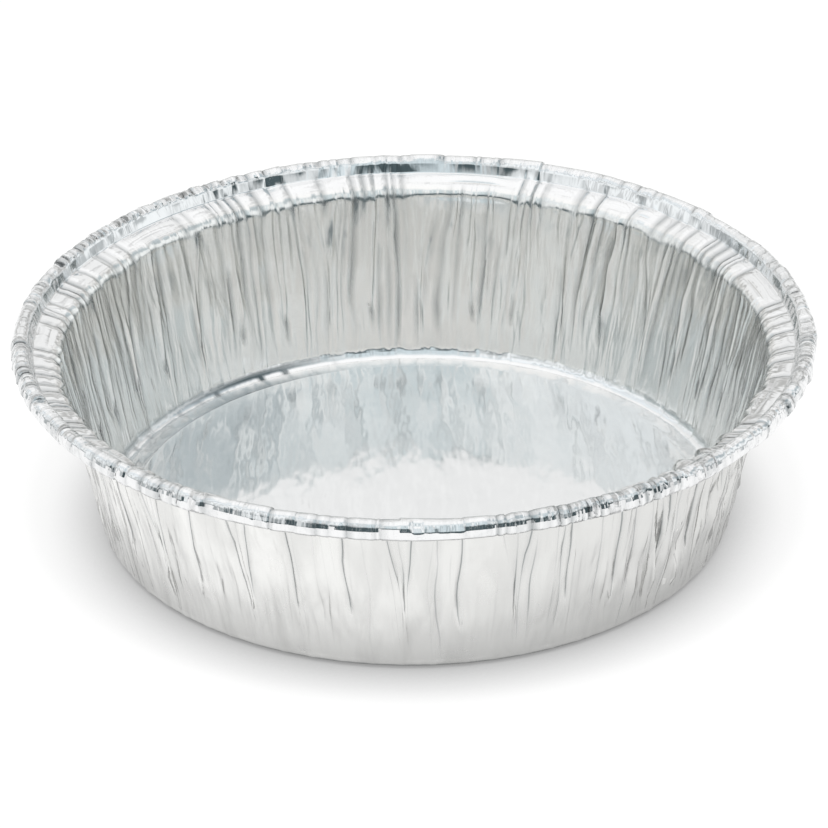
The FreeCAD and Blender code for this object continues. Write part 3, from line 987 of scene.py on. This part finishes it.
def table_material(look):
    """A matt pale table with white added where it is seen or mirrored, and less of it beside the dish: a
    painted shadow.
    """
    material = bpy.data.materials.new("table")
    shading = Shading(material)
    path = shading.node("LightPath").outputs
    # The painted shadow: less added white near the dish, seen and mirrored.
    seen = shading.times(path["Is Camera Ray"], open_share(shading, look.painted_shadow_reach, look.painted_shadow))
    mirrored = shading.math("MAXIMUM", path["Is Glossy Ray"], path["Is Transmission Ray"])
    mirrored = shading.times(mirrored, open_share(shading, look.mirrored_shadow_reach, look.mirrored_painted_shadow))
    glow = shading.times(shading.math("MAXIMUM", seen, mirrored), look.table_glow)
    shading.fill(
        shading.tree.nodes["Principled BSDF"], Base_Color=look.table, Roughness=0.9,
        Specular_IOR_Level=0.0, Emission_Color=(1.0, 1.0, 1.0), Emission_Strength=glow,
    )
    return material


def make_table(look):
    """A wide pale table that keeps the dish's soft shadow, painted mostly by its glow, with a faint cast
    shadow from the softbox.
    """
    mesh = bpy.data.meshes.new("table")
    corners = [(-1, -1), (1, -1), (1, 1), (-1, 1)]
    z = TABLE_Z - TABLE_GAP
    mesh.from_pydata([(x * TABLE_HALF_SIDE, y * TABLE_HALF_SIDE, z) for x, y in corners], [], [(0, 1, 2, 3)])
    mesh.materials.append(table_material(look))
    add_object("table", mesh)


def colours_up(shading, height, stops):
    """A colour that changes with height, from stops of (degrees above level, colour)."""
    made = shading.node("ValToRGB")
    ramp = made.color_ramp
    ramp.interpolation = "EASE"
    while len(ramp.elements) < len(stops):
        ramp.elements.new(1.0)
    for element, (degrees, shade) in zip(ramp.elements, stops):
        element.position = sine(degrees)
        element.color = (*shade, 1.0)
    return shading.feed(made, height)


def tent_stops(look):
    """How each side of the tent changes with height, as stops of (degrees above level, colour)."""
    sky, far, far_sky = look.sky, look.far_wall, look.far_sky
    near, near_sky, beside = look.near_wall, look.near_sky, look.beside_sky
    side, left_sky, right_sky = look.side_wall, look.left_sky, look.right_sky
    dim = blended(near, beside, 0.7)
    high = blended(near_sky, sky, 0.3)
    far_low = blended(far, far_sky, 0.6)
    side_low = blended(side, near, 0.5)
    low = ((0, side_low), (5, side_low), (11, side), (30, side))
    return {
        "left": (*low, (42, left_sky), (54, left_sky), (66, sky)),
        "right": (*low, (40, right_sky), (54, right_sky), (72, sky)),
        "far": ((0, far_low), (12, far_low), (15, far), (18.5, far), (25, far_sky), (40, far_sky), (54, sky)),
        "beside": ((0, near), (14, near), (22, dim), (36, beside), (52, beside), (62, high), (84, sky)),
        "near": ((0, near), (19, near), (29, near_sky), (50, near_sky), (64, high), (84, sky)),
    }


def make_tent(look):
    """A white light tent whose walls are darker low down, most of all behind the camera."""
    world = bpy.data.worlds.new("tent")
    bpy.context.scene.world = world
    tent = Shading(world)
    x, y, height = tent.axes(tent.node("TexCoord").outputs["Generated"])
    faces = {name: colours_up(tent, height, stops) for name, stops in tent_stops(look).items()}
    level = tent.vector("NORMALIZE", tent.combine(x, y, 0.0))
    cloth = tent.mix(tent.smooth(x, -0.1, 0.1), faces["left"], faces["right"])
    for name, turn, outer, inner in TENT_FACES:
        facing = tent.vector("DOT_PRODUCT", level, (cosine(turn), sine(turn), 0.0))
        cloth = tent.mix(tent.smooth(facing, cosine(outer), cosine(inner)), cloth, faces[name])
    path = tent.node("LightPath").outputs
    seen = tent.math("MAXIMUM", path["Is Camera Ray"], path["Is Glossy Ray"])
    seen = tent.math("MAXIMUM", seen, path["Is Transmission Ray"])
    plain = tent.smooth(seen, 0.0, 1.0, look.sky_fill, look.sky_strength)
    seams = tent.smooth(tent.noise(level, scale=5.0, detail=1.0), *SEAM_EDGES, 0.0, look.seams)
    seams = tent.times(seams, tent.smooth(height, *SEAM_TOPS, 1.0, 0.0))
    strength = tent.times(plain, tent.minus(1.0, seams))
    tent.fill(tent.tree.nodes["Background"], Color=cloth, Strength=strength)


def make_softbox(look):
    """A large square lamp overhead."""
    lamp = bpy.data.lights.new("softbox", "AREA")
    lamp.shape = "SQUARE"
    lamp.size = look.softbox_size
    lamp.energy = look.softbox_power
    box = add_object("softbox", lamp)
    box.location = (0.0, -SOFTBOX_FORWARD * look.softbox_height, look.softbox_height)
    box.visible_glossy = False


def make_camera(look):
    """The camera, which looks down at the dish from the front."""
    camera = bpy.data.cameras.new("camera")
    camera.lens = look.lens
    camera.sensor_width = SENSOR_WIDTH
    body = add_object("camera", camera)
    away = Vector((0.0, -cosine(look.look_down), sine(look.look_down))) * look.distance
    turn = Matrix.Rotation(math.radians(90 - look.look_down), 4, "X")
    roll = Matrix.Rotation(math.radians(look.roll), 4, "Z")
    body.matrix_world = Matrix.Translation(AIM + away) @ turn @ roll
    bpy.context.scene.camera = body


class DISH_OT_stage(bpy.types.Operator):
    """Build the table, the light tent, the softbox and the camera"""

    bl_idname = "foil_dish.make_stage"
    bl_label = "Make stage"

    def execute(self, context):
        look = context.scene.dish_stage
        make_table(look)
        make_tent(look)
        make_softbox(look)
        make_camera(look)
        context.scene.view_settings.view_transform = "Standard"
        return {"FINISHED"}


class DISH_PT_panel(bpy.types.Panel):
    """Sizes and operators of the foil dish"""

    bl_idname = "DISH_PT_panel"
    bl_label = "Foil dish"
    bl_space_type = "VIEW_3D"
    bl_region_type = "UI"
    bl_category = "Foil dish"

    def draw(self, context):
        layout = self.layout
        for name in GROUPS:
            group = getattr(context.scene, name)
            box = layout.box()
            for key in group.__annotations__:
                box.prop(group, key)
        layout.operator(DISH_OT_foil.bl_idname)
        layout.operator(DISH_OT_stage.bl_idname)


GROUPS = {
    "dish_section": SectionSizes,
    "dish_folds": FoldSizes,
    "dish_finish": FoilFinish,
    "dish_stage": StageLook,
}
CLASSES = (*GROUPS.values(), DISH_OT_foil, DISH_OT_stage, DISH_PT_panel)


def register():
    for each in CLASSES:
        bpy.utils.register_class(each)
    for name, group in GROUPS.items():
        setattr(bpy.types.Scene, name, PointerProperty(type=group))


def unregister():
    for name in GROUPS:
        delattr(bpy.types.Scene, name)
    for each in reversed(CLASSES):
        bpy.utils.unregister_class(each)


def write_sizes():
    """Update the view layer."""
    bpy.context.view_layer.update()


def main():
    register()
    bpy.ops.foil_dish.make_foil()
    bpy.ops.foil_dish.make_stage()
    write_sizes()


if __name__ == "__main__":
    main()
